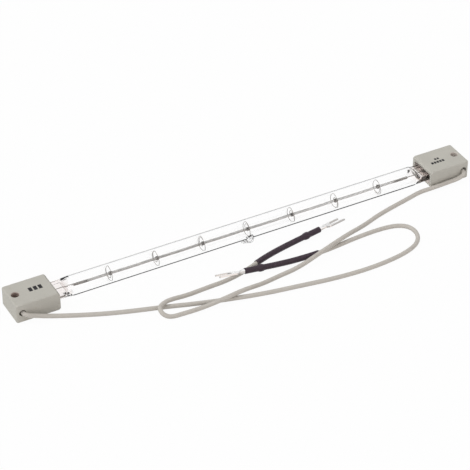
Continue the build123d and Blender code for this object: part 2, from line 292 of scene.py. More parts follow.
def mark_points(piece, name, values):
    """Attribute with a value for each point, which the piece's finish reads."""
    layer = piece.data.attributes.new(name, "FLOAT", "POINT")
    layer.data.foreach_set("value", values.astype(np.float32))


def tube_rings(path, side, up, radii, corners):
    """Rings about a path: each point is the path's, plus its radius times the cosine along side and times
    the sine along up."""
    angle = np.linspace(0, 2 * math.pi, corners, endpoint=False)
    across = side[:, None, :] * np.cos(angle)[None, :, None]
    upward = up[:, None, :] * np.sin(angle)[None, :, None]
    return path[:, None, :] + radii[:, None, None] * (across + upward)


def wire_rings(x, z, angle, radius, wire, corners):
    """Rings of a wire that winds about an axis along X: at each x and height z of the axis it stands out by
    the radius, with the cosine of the angle along Y and the sine along Z."""
    outward = np.stack([np.zeros_like(angle), np.cos(angle), np.sin(angle)], axis=1)
    path = np.stack([x, np.zeros_like(x), z], axis=1) + outward * np.reshape(radius, (-1, 1))
    along = np.broadcast_to([1.0, 0.0, 0.0], path.shape)
    return tube_rings(path, along, -outward, np.full(len(angle), wire / 2), corners)


def capped_tube(name, rings):
    """Closed mesh of rings along a path, with a flat cap on the first and last one."""
    rows, corners = rings.shape[:2]
    first = list(range(corners))[::-1]
    last = [(rows - 1) * corners + corner for corner in range(corners)]
    return make_mesh(name, rings, grid_faces(rows, corners), [first, last])


def direction_frames(path):
    """Side and up vectors of a path that never runs upright: side is level, and up is square to side and to
    the path."""
    tangent = np.gradient(path, axis=0)
    tangent /= np.linalg.norm(tangent, axis=1, keepdims=True)
    side = np.cross(np.array([0.0, 0.0, 1.0]), tangent)
    side /= np.linalg.norm(side, axis=1, keepdims=True)
    return side, np.cross(tangent, side)


def smoothstep(value):
    """Ease from 0 to 1: three squares less two cubes."""
    value = np.clip(value, 0, 1)
    return value * value * (3 - 2 * value)


def distances(points):
    """Length along a path from its first point to each."""
    return np.concatenate([[0], np.cumsum(np.linalg.norm(np.diff(points, axis=0), axis=1))])


def through(places, values, steps):
    """Values eased between given places, by the cubic whose slope at each place follows its neighbours."""
    at = np.linspace(places[0], places[-1], steps)
    slopes = np.gradient(values, places, axis=0)
    index = np.clip(np.searchsorted(places, at, side="right") - 1, 0, len(places) - 2)
    run = places[index + 1] - places[index]
    t = ((at - places[index]) / run)[:, None]
    run = run[:, None]
    start = (2 * t**3 - 3 * t**2 + 1) * values[index] + (t**3 - 2 * t**2 + t) * run * slopes[index]
    end = (-2 * t**3 + 3 * t**2) * values[index + 1] + (t**3 - t**2) * run * slopes[index + 1]
    return start + end


def spline_curve(name, points):
    """Smooth line with the points as its control points."""
    curve = bpy.data.curves.new(name, "CURVE")
    curve.dimensions = "3D"
    curve.resolution_u = 12
    spline = curve.splines.new("NURBS")
    spline.points.add(len(points) - 1)
    for control, point in zip(spline.points, points):
        control.co = (*point, 1)
    spline.order_u = 3
    spline.use_endpoint_u = True
    return curve


def centreline(points, steps):
    """Evenly spaced points on the smooth line that the control points give, and its length."""
    holder = bpy.data.objects.new("centreline", spline_curve("centreline", points))
    mesh = bpy.data.meshes.new_from_object(holder)
    line = np.empty(len(mesh.vertices) * 3)
    mesh.vertices.foreach_get("co", line)
    line = line.reshape(-1, 3)
    bpy.data.meshes.remove(mesh)
    bpy.data.objects.remove(holder)
    along = distances(line)
    even = np.linspace(0, along[-1], steps)
    return np.stack([np.interp(even, along, line[:, axis]) for axis in range(3)], axis=1), along[-1]


def fit(piece, slot, material, *nodes):
    """Gives a piece its finish and its body, and hides the solids that it stands for."""
    piece.data.materials.clear()
    piece.data.materials.append(material)
    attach(piece, BODY)
    if nodes:
        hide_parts(*nodes)


def dress(node, material):
    """Gives a solid that stays in view its finish."""
    solid = frame["nodes"][node]
    solid.data.materials.clear()
    solid.data.materials.append(material)


class NodeTree:
    """A tree of shader nodes, with short ways to add to it."""

    def __init__(self, tree):
        self.tree = tree

    def add(self, kind, **settings):
        """New node with the given settings."""
        node = self.tree.nodes.new(kind)
        for setting, value in settings.items():
            setattr(node, setting, value)
        return node

    def join(self, source, target):
        """Link from an output to an input."""
        self.tree.links.new(source, target)

    def maths(self, operation, *terms):
        """Result of a sum on outputs and numbers."""
        node = self.add("ShaderNodeMath", operation=operation)
        for term, socket in zip(terms, node.inputs):
            if isinstance(term, float):
                socket.default_value = term
            else:
                self.join(term, socket)
        return node.outputs[0]

    def ramp(self, value, low, high, first=0.0, last=1.0):
        """Value mapped evenly, so that low becomes the first level and high the last one."""
        spread = self.add("ShaderNodeMapRange")
        spread.inputs["From Min"].default_value = low
        spread.inputs["From Max"].default_value = high
        spread.inputs["To Min"].default_value = first
        spread.inputs["To Max"].default_value = last
        self.join(value, spread.inputs["Value"])
        return spread.outputs["Result"]

    def coordinates(self, kind):
        """X, Y and Z of a place or heading: Object for the piece's own place, Normal for its surface's
        heading, Generated for a ray's heading in the world."""
        apart = self.add("ShaderNodeSeparateXYZ")
        self.join(self.add("ShaderNodeTexCoord").outputs[kind], apart.inputs[0])
        return apart.outputs

    def show(self, plain, kind, level, share):
        """Shows white to rays from the camera or through glass, and the given level to those that metal and
        glass reflect, in place of the plain shader's share."""
        ray = self.add("ShaderNodeLightPath").outputs
        straight = self.maths("MAXIMUM", ray["Is Camera Ray"], ray["Is Transmission Ray"])
        seen = self.maths("MAXIMUM", straight, ray["Is Glossy Ray"])
        white = self.add(kind)
        white.inputs["Color"].default_value = (*WHITE, 1)
        self.join(self.maths("MAXIMUM", straight, level), white.inputs["Strength"])
        mix = self.add("ShaderNodeMixShader")
        self.join(self.maths("MULTIPLY", seen, share), mix.inputs[0])
        self.join(plain, mix.inputs[1])
        self.join(white.outputs[0], mix.inputs[2])
        output = next(node for node in self.tree.nodes if "Surface" in node.inputs)
        self.join(mix.outputs[0], output.inputs["Surface"])


class Finish(NodeTree):
    """A material that starts as one principled shader."""

    def __init__(self, name, colour, roughness, metallic=0.0):
        self.material = bpy.data.materials.new(name)
        self.material.use_nodes = True
        super().__init__(self.material.node_tree)
        self.shader = self.tree.nodes["Principled BSDF"]
        self.shader.inputs["Base Color"].default_value = (*colour, 1)
        self.shader.inputs["Roughness"].default_value = roughness
        self.shader.inputs["Metallic"].default_value = metallic

    def noise(self, scale, detail=3.0, stretch=(1, 1, 1)):
        """Noise on the piece's own coordinates, stretched along each axis."""
        place = self.add("ShaderNodeTexCoord")
        mapping = self.add("ShaderNodeMapping")
        mapping.inputs["Scale"].default_value = stretch
        texture = self.add("ShaderNodeTexNoise")
        texture.inputs["Scale"].default_value = scale
        texture.inputs["Detail"].default_value = detail
        self.join(place.outputs["Object"], mapping.inputs["Vector"])
        self.join(mapping.outputs["Vector"], texture.inputs["Vector"])
        return texture.outputs["Fac"]

    def tint(self, factor, first, second):
        """Colour that runs from first to second with the factor."""
        mix = self.add("ShaderNodeMix", data_type="RGBA")
        mix.inputs[6].default_value = (*first, 1)
        mix.inputs[7].default_value = (*second, 1)
        self.join(factor, mix.inputs[0])
        return mix.outputs[2]

    def overlay(self, factor, under, over):
        """The colour under, replaced by the plain colour over as the factor grows."""
        mix = self.add("ShaderNodeMix", data_type="RGBA")
        self.join(under, mix.inputs[6])
        mix.inputs[7].default_value = (*over, 1)
        self.join(factor, mix.inputs[0])
        return mix.outputs[2]

    def attribute(self, name):
        """Value that the piece's mesh holds for each point."""
        return self.add("ShaderNodeAttribute", attribute_name=name).outputs["Fac"]

    def colour(self, output):
        """Uses a colour as the surface's own."""
        self.join(output, self.shader.inputs["Base Color"])

    def roughness(self, factor, low, high):
        """Roughness that runs from low to high with a factor."""
        self.join(self.ramp(factor, 0.0, 1.0, low, high), self.shader.inputs["Roughness"])

    def bump(self, height, distance, strength=1.0):
        """Relief of the given depth, on top of any that is there."""
        relief = self.add("ShaderNodeBump")
        relief.inputs["Distance"].default_value = distance
        relief.inputs["Strength"].default_value = strength
        self.join(height, relief.inputs["Height"])
        before = self.shader.inputs["Normal"].links
        if before:
            self.join(before[0].from_socket, relief.inputs["Normal"])
        self.join(relief.outputs["Normal"], self.shader.inputs["Normal"])


def shade(colour, factor):
    """A colour made lighter or darker by a factor."""
    return tuple(channel * factor for channel in colour)


def quartz_finish():
    """Clear fused quartz. Where the outer surface is seen almost along, a painted dark reflection turns it
    black, which draws the tube's outlines: almost fully below the axis, under half as much above it, and
    not at all on the pressed seals, which have a faint warm tint."""
    finish = Finish("clear quartz", WHITE, 0.0)
    finish.shader.inputs["IOR"].default_value = 1.458
    finish.shader.inputs["Transmission Weight"].default_value = 1.0
    warm = (0.93, 0.885, 0.87)
    edge = finish.add("ShaderNodeLayerWeight")
    edge.inputs["Blend"].default_value = 0.5
    # Painted dark reflection along the outlines, where the surface is seen almost along
    painted_dark_rim = finish.ramp(finish.maths("ADD", edge.outputs["Facing"], finish.attribute("drawn")), 0.56, 0.67)
    painted_dark_rim = finish.maths("MULTIPLY", painted_dark_rim, finish.attribute("outside"))
    height = finish.coordinates("Object")["Z"]
    # The painted dark reflection is stronger below the axis than above it
    painted_dark_rim = finish.maths("MULTIPLY", painted_dark_rim, finish.ramp(height, AXIS_Z + 3 * MM, AXIS_Z - 2 * MM, 0.43, 0.93))
    pressed = finish.attribute("pressed")
    painted_dark_rim = finish.maths("MULTIPLY", painted_dark_rim, finish.ramp(pressed, 0.2, 0.02))
    finish.colour(finish.overlay(painted_dark_rim, finish.tint(pressed, WHITE, warm), BLACK))
    finish.join(painted_dark_rim, finish.shader.inputs["Metallic"])
    finish.join(finish.tint(painted_dark_rim, WHITE, BLACK), finish.shader.inputs["Specular Tint"])


def bar_row(finish, place, centre, pitch, count, share, height):
    """1 on a row of equal bars along X: within its length and height, where the fraction of x over the
    pitch is under the bar's share."""
    x, y = place["X"], place["Y"]
    length = pitch * (count - 1 + share)
    start = centre[0] - length / 2
    inside = finish.maths("COMPARE", x, centre[0], length / 2)
    level = finish.maths("COMPARE", y, centre[1], height / 2)
    steps = finish.maths("DIVIDE", finish.maths("SUBTRACT", x, start), pitch)
    bar = finish.maths("LESS_THAN", finish.maths("FRACT", steps), share)
    return finish.maths("MULTIPLY", finish.maths("MULTIPLY", inside, level), bar)


def ceramic_finish(colour, ink):
    """Unglazed steatite: pale grey-beige, mottled, with fine dark grains and a sandy surface. It has a pale
    pinkish painted light in the pocket and the holes, a dark brown painted shade in the left hole's pit, and
    rows of plain dark bars are printed on top."""
    stain = (0.44, 0.40, 0.33)
    painted_hole_light = (0.78, 0.70, 0.66)
    painted_pit_shade = (0.30, 0.22, 0.19)
    painted_pocket_light = (0.73, 0.67, 0.64)
    finish = Finish("unglazed steatite", colour, 0.62)
    cloudy = finish.tint(finish.noise(160, 4.0), shade(colour, 0.93), shade(colour, 1.06))
    grains = finish.ramp(finish.noise(4200, 2.0), 0.66, 0.74)
    speckled = finish.overlay(grains, cloudy, shade(colour, 0.62))
    surface = finish.overlay(finish.ramp(finish.noise(420, 3.0), 0.66, 0.82), speckled, stain)

    place = finish.coordinates("Object")
    along = finish.maths("ABSOLUTE", place["X"])
    across = finish.maths("ABSOLUTE", place["Y"])
    hole = finish.add("ShaderNodeCombineXYZ")
    finish.join(finish.maths("SUBTRACT", along, HOLE_X), hole.inputs["X"])
    finish.join(place["Y"], hole.inputs["Y"])
    reach = finish.add("ShaderNodeVectorMath", operation="LENGTH")
    finish.join(hole.outputs[0], reach.inputs[0])
    bored = finish.ramp(reach.outputs["Value"], HOLE_RADIUS + 0.35 * MM, HOLE_RADIUS)
    # Painted light on the walls of both holes, which lifts their shade
    surface = finish.overlay(finish.maths("MULTIPLY", bored, 0.5), surface, painted_hole_light)
    # Painted shade in the deep pit of the left hole
    left_hole_shade_mask = finish.maths("MULTIPLY", bored, finish.maths("LESS_THAN", place["X"], 0.0))
    surface = finish.overlay(finish.maths("MULTIPLY", left_hole_shade_mask, 0.85), surface, painted_pit_shade)

    tall = finish.maths("COMPARE", place["Z"], AXIS_Z, POCKET_HALF_HEIGHT)
    wide = finish.maths("LESS_THAN", across, POCKET_HALF_WIDTH)
    deep = finish.maths("COMPARE", along, POCKET_MIDDLE, POCKET_HALF_DEPTH)
    pocket = finish.maths("MULTIPLY", finish.maths("MULTIPLY", tall, wide), deep)
    # Painted light in the seal's pocket, whose walls lie in shade
    surface = finish.overlay(finish.maths("MULTIPLY", pocket, 0.8), surface, painted_pocket_light)

    rows = [bar_row(finish, place, *row) for row in BAR_ROWS]
    printed = finish.maths("MAXIMUM", finish.maths("MAXIMUM", rows[0], rows[1]), rows[2])
    on_top = finish.maths("GREATER_THAN", place["Z"], cap_high.z - 0.1 * MM)
    printed = finish.maths("MULTIPLY", printed, on_top)
    worn = finish.ramp(finish.noise(3800, 3.0), 0.82, 0.66)
    finish.colour(finish.overlay(finish.maths("MULTIPLY", printed, worn), surface, ink))
    finish.shader.inputs["Specular IOR Level"].default_value = 0.35
    finish.roughness(finish.noise(900, 2.0), 0.52, 0.74)
    finish.bump(finish.noise(5200, 3.0), 0.03 * MM, 0.6)
    finish.bump(finish.noise(700, 2.0), 0.05 * MM, 0.35)
    return finish.material


def cement_finish():
    """Rough set cement, brown-grey with darker pores."""
    colour = (0.30, 0.255, 0.205)
    finish = Finish("set cement", colour, 0.85)
    pores = finish.ramp(finish.noise(2600, 4.0), 0.55, 0.7)
    base = finish.tint(finish.noise(900, 3.0), shade(colour, 0.75), shade(colour, 1.2))
    finish.colour(finish.overlay(pores, base, shade(colour, 0.4)))
    finish.bump(finish.noise(1500, 5.0), 0.25 * MM, 0.9)
    return finish.material


def wire_finish(name, colour, roughness):
    """Drawn wire or foil: metal with fine marks along it and patches of oxide, darkest on support hubs."""
    finish = Finish(name, colour, roughness, 1.0)
    oxide = finish.ramp(finish.noise(500, 3.0), 0.45, 0.75)
    drawn = finish.tint(oxide, shade(colour, 1.1), shade(colour, 0.6))
    finish.colour(finish.overlay(finish.attribute("hub"), drawn, shade(colour, 0.4)))
    finish.roughness(finish.noise(3000, 2.0, (0.1, 1, 1)), roughness * 0.8, roughness * 1.3)
    finish.bump(finish.noise(6000, 1.0, (0.1, 1, 1)), 0.01 * MM, 0.4)
    return finish.material


def tin_finish(colour):
    """Bright tin plating with fine rolling marks, duller in patches, and greyer on the cut sides, where
    the surface's heading is more sideways than up."""
    side_colour = (0.70, 0.68, 0.66)
    finish = Finish("tin plating", colour, 0.28, 1.0)
    upward = finish.maths("ABSOLUTE", finish.coordinates("Normal")["Z"])
    cut = finish.ramp(upward, 0.7, 0.55)
    plated = finish.tint(finish.noise(700, 3.0), shade(colour, 0.93), shade(colour, 1.02))
    finish.colour(finish.overlay(cut, plated, side_colour))
    finish.roughness(finish.noise(1400, 3.0), 0.20, 0.32)
    finish.bump(finish.noise(5200, 2.0, (1, 0.15, 0.15)), 0.01 * MM, 0.15)
    return finish.material


def insulation_finish(colour):
    """Silicone insulation: matt, faintly mottled, with dust and a soft skin."""
    finish = Finish("silicone insulation", colour, 0.5)
    mottled = finish.tint(finish.noise(300, 3.0), shade(colour, 0.92), shade(colour, 1.06))
    dust = finish.ramp(finish.noise(1500, 4.0), 0.6, 0.8)
    finish.colour(finish.overlay(dust, mottled, shade(colour, 0.85)))
    finish.roughness(finish.noise(1200, 3.0), 0.42, 0.62)
    finish.shader.inputs["Specular IOR Level"].default_value = 0.4
    finish.bump(finish.noise(2600, 3.0), 0.03 * MM, 0.5)


def sleeve_finish(colour):
    """Dark heat-resistant sleeve: satin, with fine lengthwise grain and rubbed patches."""
    finish = Finish("dark sleeving", colour, 0.45)
    finish.shader.inputs["Specular IOR Level"].default_value = 0.3
    rubbed = finish.ramp(finish.noise(900, 4.0), 0.5, 0.75)
    finish.colour(finish.tint(rubbed, colour, shade(colour, 1.7)))
    finish.roughness(finish.noise(1500, 2.0), 0.34, 0.56)
    finish.bump(finish.noise(1700, 2.0, (0.25, 1, 1)), 0.05 * MM, 0.6)


# Glass: points round each section, and how many sections each stretch has
GLASS_CORNERS = 120
MIDDLE_SECTIONS = 40
SHOULDER_SECTIONS = 26
SEAL_SECTIONS = 14
HOLLOW_SECTIONS = 30
END_SECTIONS = 6
# Its seals: rounding of their ends, fall of the section's power, place and width of a rib, and half the
# width and height of the hollow where it ends
END_ROUNDING = 0.4 * MM
POWER_FALL = 0.62
RIB_INSET = 1.2 * MM
RIB_WIDTH = 0.55 * MM
HOLLOW_END = (4.0 * MM, 0.35 * MM)


def envelope_section(x, settings, radius, seal_half_width, seal_half_height):
    """Section of the envelope at each x: a circle that turns into a flat press seal over the shoulder. A
    point is half the width times the cosine to a power, and half the height times the sine to that power.
    The power falls from 1, a circle, to under a half, a flat shape with round edges."""
    angle = np.linspace(0, 2 * math.pi, GLASS_CORNERS, endpoint=False)[None, :]
    round_end = np.where(x < 0, settings.round_left, settings.round_right)
    share = smoothstep((np.abs(x) - round_end) / settings.shoulder)[:, None]
    width = radius + (seal_half_width - radius) * share
    height = radius + (seal_half_height - radius) * share
    power = 1 - POWER_FALL * share
    y = width * np.sign(np.cos(angle)) * np.abs(np.cos(angle)) ** power
    z = height * np.sign(np.sin(angle)) * np.abs(np.sin(angle)) ** power
    return y, z, share


def glass_shell(settings):
    """Outer and inner surface of the envelope, and how far each of their points is pressed: sections along
    X, closer together in the shoulders. A rib along each edge of a seal stands up by its height times the
    exponential of minus the squared distance over its width. The ends round off by a quarter circle."""
    rounding = np.linspace(0, math.pi / 2, END_SECTIONS)
    tail = tube_high.x - END_ROUNDING + END_ROUNDING * np.sin(rounding)
    halves, hollows = [], []
    for round_end in (settings.round_left, settings.round_right):
        seal_start = round_end + settings.shoulder
        middle = np.linspace(0, round_end, MIDDLE_SECTIONS, endpoint=False)
        shoulder = np.linspace(round_end, seal_start, SHOULDER_SECTIONS, endpoint=False)
        seal = np.linspace(seal_start, tail[0], SEAL_SECTIONS, endpoint=False)
        halves.append(np.concatenate([middle, shoulder, seal, tail]))
        hollows.append(np.concatenate([middle, np.linspace(round_end, seal_start, HOLLOW_SECTIONS)]))
    x = np.concatenate([-halves[0][:0:-1], halves[1]])
    shrink = END_ROUNDING * (1 - np.cos(rounding))
    shrink = np.concatenate([shrink[::-1], np.zeros(len(x) - 2 * END_SECTIONS), shrink])[:, None]
    radius = settings.outside / 2
    seal_half = (settings.seal_width / 2, settings.seal_thickness / 2)
    y, z, share = envelope_section(x, settings, radius, *seal_half)
    rib_place = seal_half[0] - RIB_INSET
    rib = np.exp(-(((np.abs(y) - rib_place) / RIB_WIDTH) ** 2)) * share**4
    z = z + np.sign(z) * settings.rib_height * rib
    y = y - np.sign(y) * np.minimum(shrink, np.abs(y))
    z = z - np.sign(z) * np.minimum(shrink, np.abs(z))
    outer = np.stack([np.broadcast_to(x[:, None], y.shape), y, AXIS_Z + z], axis=-1)

    inner_x = np.concatenate([-hollows[0][:0:-1], hollows[1]])
    y, z, inner_share = envelope_section(inner_x, settings, radius - settings.wall, *HOLLOW_END)
    inner = np.stack([np.broadcast_to(inner_x[:, None], y.shape), y, AXIS_Z + z], axis=-1)[:, ::-1]
    return outer, inner, np.repeat(np.concatenate([share, inner_share]), GLASS_CORNERS)


# Exhaust tip: rings in mm by x, reach from the wall, drop, heading in degrees and diameter
TIP_RINGS = np.array(
    [
        (0.8, -0.6, 0.0, 90, 3.7),
        (0.7, 0.2, 0.0, 92, 3.7),
        (0.3, 1.0, 0.0, 112, 3.5),
        (-0.9, 1.6, -0.1, 150, 2.4),
        (-2.8, 1.5, -0.3, 174, 1.3),
        (-4.8, 1.2, -0.5, 182, 0.7),
        (-5.1, 1.2, -0.5, 182, 0.1),
    ]
)
TIP_STEPS = 60
TIP_CORNERS = 40
TIP_LEAN = math.radians(26)
# How strong the painted dark reflection on the tip's outlines is, and how much wider it is than the tube's
TIP_PAINTED_DARK_RIM = 0.8
TIP_WIDER = 0.17


class HEATINGTUBE_OT_glass(bpy.types.Operator):
    """Builds the quartz envelope and its exhaust tip"""

    bl_idname = "heatingtube.glass"
    bl_label = "Glass envelope"

    def execute(self, context):
        settings = context.scene.heating_tube.tube
        quartz = bpy.data.materials["clear quartz"]
        shell = self.shell(settings)
        tip = self.tip(settings)
        fit(shell, "quartz", quartz, "quartz_tube")
        fit(tip, "quartz", quartz)
        for piece in (shell, tip):
            piece.visible_shadow = False
        return {"FINISHED"}

    def shell(self, settings):
        """One mesh of the outer and inner surface, each closed by a flat face at both ends."""
        outer, inner, pressed = glass_shell(settings)
        ring = np.arange(GLASS_CORNERS)
        start = len(outer) * GLASS_CORNERS
        outer_last = start - GLASS_CORNERS + ring
        inner_last = len(pressed) - GLASS_CORNERS + ring
        ends = [end.tolist() for end in (ring[::-1], outer_last, start + ring[::-1], inner_last)]
        faces = [grid_faces(len(outer), GLASS_CORNERS), grid_faces(len(inner), GLASS_CORNERS) + start]
        points = np.concatenate([outer.reshape(-1, 3), inner.reshape(-1, 3)])
        piece = make_mesh("glass_envelope", points, np.concatenate(faces), ends)
        # Only the outer surface carries the quartz's painted dark reflection
        mark_points(piece, "outside", np.arange(len(pressed)) < start)
        mark_points(piece, "pressed", pressed)
        return piece

    def tip(self, settings):
        """Drawn-off tip: rings eased through the given ones, which leave the wall squarely and turn towards
        -X as they narrow. The whole then leans down about the tube's axis."""
        x, reach, drop, heading, diameter = through(distances(TIP_RINGS[:, :3]), TIP_RINGS, TIP_STEPS).T
        heading = np.radians(heading)
        path = np.stack([x, -(settings.outside / 2 / MM + reach), -drop], axis=1) * MM
        up = np.broadcast_to([0.0, 0.0, 1.0], path.shape)
        side = np.stack([np.sin(heading), np.cos(heading), np.zeros_like(heading)], axis=1)
        rings = tube_rings(path, -side, up, np.maximum(diameter, TIP_RINGS[-1, -1]) / 2 * MM, TIP_CORNERS)
        sine, cosine = math.sin(TIP_LEAN), math.cos(TIP_LEAN)
        turn = np.array([(1, 0, 0), (0, cosine, sine), (0, -sine, cosine)])
        piece = capped_tube("exhaust_tip", rings @ turn + (0, 0, AXIS_Z))
        # The tip's outlines carry the quartz's painted dark reflection, a little wider than the tube's
        mark_points(piece, "outside", np.full(TIP_STEPS * TIP_CORNERS, TIP_PAINTED_DARK_RIM))
        mark_points(piece, "drawn", np.full(TIP_STEPS * TIP_CORNERS, TIP_WIDER))
        return piece


# Coil: stations for its pitch, points to a turn and round the wire, and lengths over which it changes
COIL_STATIONS = 4000
COIL_STEPS = 22
COIL_CORNERS = 6
OPENING_LENGTH = 3 * MM
DROOP_LENGTH = 22 * MM
# The pitch's way from left to right: the share along the coil, times the first of these, less the second
PITCH_CHANGE = (1.6, 0.45)
# Supports: points along and round the wire, sweep of the ring in turns, and small offsets of ring and hub
SUPPORT_STEPS = 260
SUPPORT_CORNERS = 10
RING_SWEEP = 0.86
RING_DROP = 0.04 * MM
RING_LARGER = 0.05 * MM
HUB_GAP = 0.03 * MM
FIRST_PHASE, PHASE_STEP = math.radians(20), math.radians(47)


class HEATINGTUBE_OT_filament(bpy.types.Operator):
    """Winds the tungsten coil and its seven wire supports"""

    bl_idname = "heatingtube.filament"
    bl_label = "Filament and supports"

    def execute(self, context):
        settings = context.scene.heating_tube.filament
        tungsten = bpy.data.materials["drawn tungsten"]
        centres = [sum(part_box(f"coil_support_{index}"), Vector()).x / 2 for index in range(1, 8)]
        fit(self.coil(settings, centres), "tungsten", tungsten, "filament_coil")
        for index, centre in enumerate(centres, 1):
            fit(self.support(settings, index, centre), "tungsten", tungsten, f"coil_support_{index}")
        return {"FINISHED"}

    def droop(self, settings, x):
        """How far the filament hangs under the axis: an even change from the left value to the right one,
        eased to 0 at both ends."""
        share = (x - coil_low.x) / (coil_high.x - coil_low.x)
        ends = smoothstep(np.minimum(x - coil_low.x, coil_high.x - x) / DROOP_LENGTH)
        return (settings.settle_left + (settings.settle_right - settings.settle_left) * share) * ends

    def coil(self, settings, centres):
        """Helix whose turns are the running sum of steps over the pitch: close at both ends, and opening
        from left to right between them. Its axis droops by a squared sine between supports."""
        half_wire = settings.wire / 2
        places = np.linspace(coil_low.x + half_wire, coil_high.x - half_wire, COIL_STATIONS)
        from_end = np.minimum(places - places[0], places[-1] - places)
        opened = smoothstep((from_end - settings.close_length) / OPENING_LENGTH)
        share = (places - coil_low.x) / (coil_high.x - coil_low.x)
        share = smoothstep(share * PITCH_CHANGE[0] - PITCH_CHANGE[1])
        pitch = settings.open_left + (settings.open_right - settings.open_left) * share
        pitch = settings.close + (pitch - settings.close) * opened
        turns = np.concatenate([[0], np.cumsum(np.diff(places) / pitch[:-1])])
        turn = np.linspace(0, turns[-1], int(turns[-1] * COIL_STEPS))
        x = np.interp(turn, turns, places)
        spacing = centres[1] - centres[0]
        sag = settings.sag * np.sin(math.pi * (x - centres[0]) / spacing) ** 2
        z = AXIS_Z - self.droop(settings, x) - sag
        rings = wire_rings(x, z, 2 * math.pi * turn, COIL_RADIUS - half_wire, settings.wire, COIL_CORNERS)
        return capped_tube("wound_coil", rings)

    def support(self, settings, index, centre):
        """Wire that turns close round the coil, then spirals out to a ring that bears on the wall. Its
        radius, height and place ease from the hub's to the ring's over one turn, and then stay."""
        wire, hub_turns = settings.support_wire, settings.hub_turns
        low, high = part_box(f"coil_support_{index}")
        ring_radius = (high.z - low.z) / 2 + RING_LARGER - wire / 2
        hub_radius = COIL_RADIUS + wire / 2 + HUB_GAP
        hub_drop = self.droop(settings, centre)
        turn = np.linspace(0, hub_turns + 1 + RING_SWEEP, SUPPORT_STEPS)
        leaves = smoothstep(turn - hub_turns)
        radius = hub_radius + (ring_radius - hub_radius) * leaves
        x = centre - wire * (np.minimum(turn, hub_turns) - hub_turns / 2)
        x = x + (settings.ring_shift + wire * hub_turns / 2) * leaves
        z = AXIS_Z - hub_drop + (hub_drop - RING_DROP) * leaves
        angle = 2 * math.pi * turn + FIRST_PHASE + PHASE_STEP * index
        piece = capped_tube(f"support_wire_{index}", wire_rings(x, z, angle, radius, wire, SUPPORT_CORNERS))
        mark_points(piece, "hub", np.repeat(turn <= hub_turns, SUPPORT_CORNERS))
        return piece


# Sleeves: stations along the lead and beyond its end, points round, and stations of the running average
LINE_STEPS = 1200
BEYOND_STEPS = 80
SLEEVE_CORNERS = 40
AVERAGE_SPAN = 9
# Where the bore turns from lead to bell and from bell to barrel, in mm beyond the insulation's end
BELL_STATIONS = (-1.2, -0.1, 1.4, 2.4)
SLEEVE_GAP = 0.05 * MM
BARREL_SHOWS = 0.4 * MM


class HEATINGTUBE_OT_leads(bpy.types.Operator):
    """Lays both leads, with their sleeves, which reach over the fork lugs' barrels"""

    bl_idname = "heatingtube.leads"
    bl_label = "Leads, sleeves and lugs"

    def execute(self, context):
        settings = context.scene.heating_tube.leads
        for name, route in ROUTES.items():
            curve = spline_curve(f"{name}_cable", route)
            curve.bevel_depth = settings.diameter / 2
            curve.bevel_resolution = 6
            curve.use_fill_caps = True
            cable = bpy.data.objects.new(f"{name}_cable", curve)
            context.scene.collection.objects.link(cable)
            fit(cable, "lead_insulation", bpy.data.materials["silicone insulation"], f"{name}_lead")
            sleeve = self.sleeve(settings, name, route)
            fit(sleeve, "sleeve", bpy.data.materials["dark sleeving"], f"{name}_sleeve")
        return {"FINISHED"}

    def sleeve(self, settings, name, route):
        """Tube along the lead's end and straight on over the lug's barrel. Its bore swells evenly to the
        bell's diameter and back, and a weighted running average of that smooths its outside."""
        line, length = centreline(route, LINE_STEPS)
        start = 1 - SLEEVE_ON_LEAD[name] / length
        line = line[int(start * len(line)):]
        heading = line[-1] - line[-2]
        heading /= np.linalg.norm(heading)
        overhang = settings.barrel_length - BARREL_SHOWS
        beyond = np.linspace(0, overhang, BEYOND_STEPS)[1:]
        path = np.concatenate([line, line[-1] + beyond[:, None] * heading])
        along = distances(path)
        along = along - along[-1] + overhang
        side, up = direction_frames(path)
        diameters = np.array([settings.diameter, settings.bell, settings.bell, settings.barrel])
        inside = np.interp(along / MM, BELL_STATIONS, diameters / 2 + SLEEVE_GAP)
        window = np.hanning(AVERAGE_SPAN) / np.sum(np.hanning(AVERAGE_SPAN))
        padded = np.pad(inside, AVERAGE_SPAN // 2, mode="edge")
        outside = np.convolve(padded, window, mode="valid") + settings.sleeve_wall
        outer = tube_rings(path, side, up, outside, SLEEVE_CORNERS)
        inner = tube_rings(path, side, up, inside, SLEEVE_CORNERS)[::-1]
        rings = np.concatenate([outer, inner])
        faces = grid_faces(len(rings), SLEEVE_CORNERS, close_rows=True)
        return make_mesh(f"{name}_dark_sleeve", rings, faces)


class HEATINGTUBE_OT_finishes(bpy.types.Operator):
    """Makes every finish and dresses the solids that stay in view"""

    bl_idname = "heatingtube.finishes"
    bl_label = "Finishes"

    def execute(self, context):
        colours = context.scene.heating_tube.finish
        quartz_finish()
        ceramic = ceramic_finish(tuple(colours.ceramic), tuple(colours.ink))
        cement = cement_finish()
        tungsten = wire_finish("drawn tungsten", tuple(colours.tungsten), 0.42)
        molybdenum = wire_finish("rolled molybdenum", (0.42, 0.40, 0.38), 0.38)
        nickel = wire_finish("nickel wire", (0.58, 0.55, 0.52), 0.32)
        tin = tin_finish(tuple(colours.tin))
        insulation_finish(tuple(colours.lead))
        sleeve_finish(tuple(colours.sleeve))
        for name in SIDES:
            dress(f"{name}_ceramic_cap", ceramic)
            dress(f"{name}_cement", cement)
            dress(f"{name}_inner_pin", tungsten)
            dress(f"{name}_sealing_foil", molybdenum)
            dress(f"{name}_outer_pin", molybdenum)
            dress(f"{name}_splice", tin)
            dress(f"{name}_lead_core", nickel)
            dress(f"{name}_core_end", nickel)
            dress(f"{name}_fork_lug", tin)
        return {"FINISHED"}


FLOOR_HALF = 6.0
FLOOR_TOP = -0.05 * MM
# Heights of a ray's heading between which the surroundings turn from dark to white
HORIZON = (0.05, 0.45)
# Lamps: colour, spread in degrees, and the side that the light comes from
LAMPS = {
    "sun": (WHITE, 35, (-0.58, 0.22, 0.78)),
    "fill": ((1.0, 0.86, 0.80), 60, (0.1, -0.95, 0.2)),
}


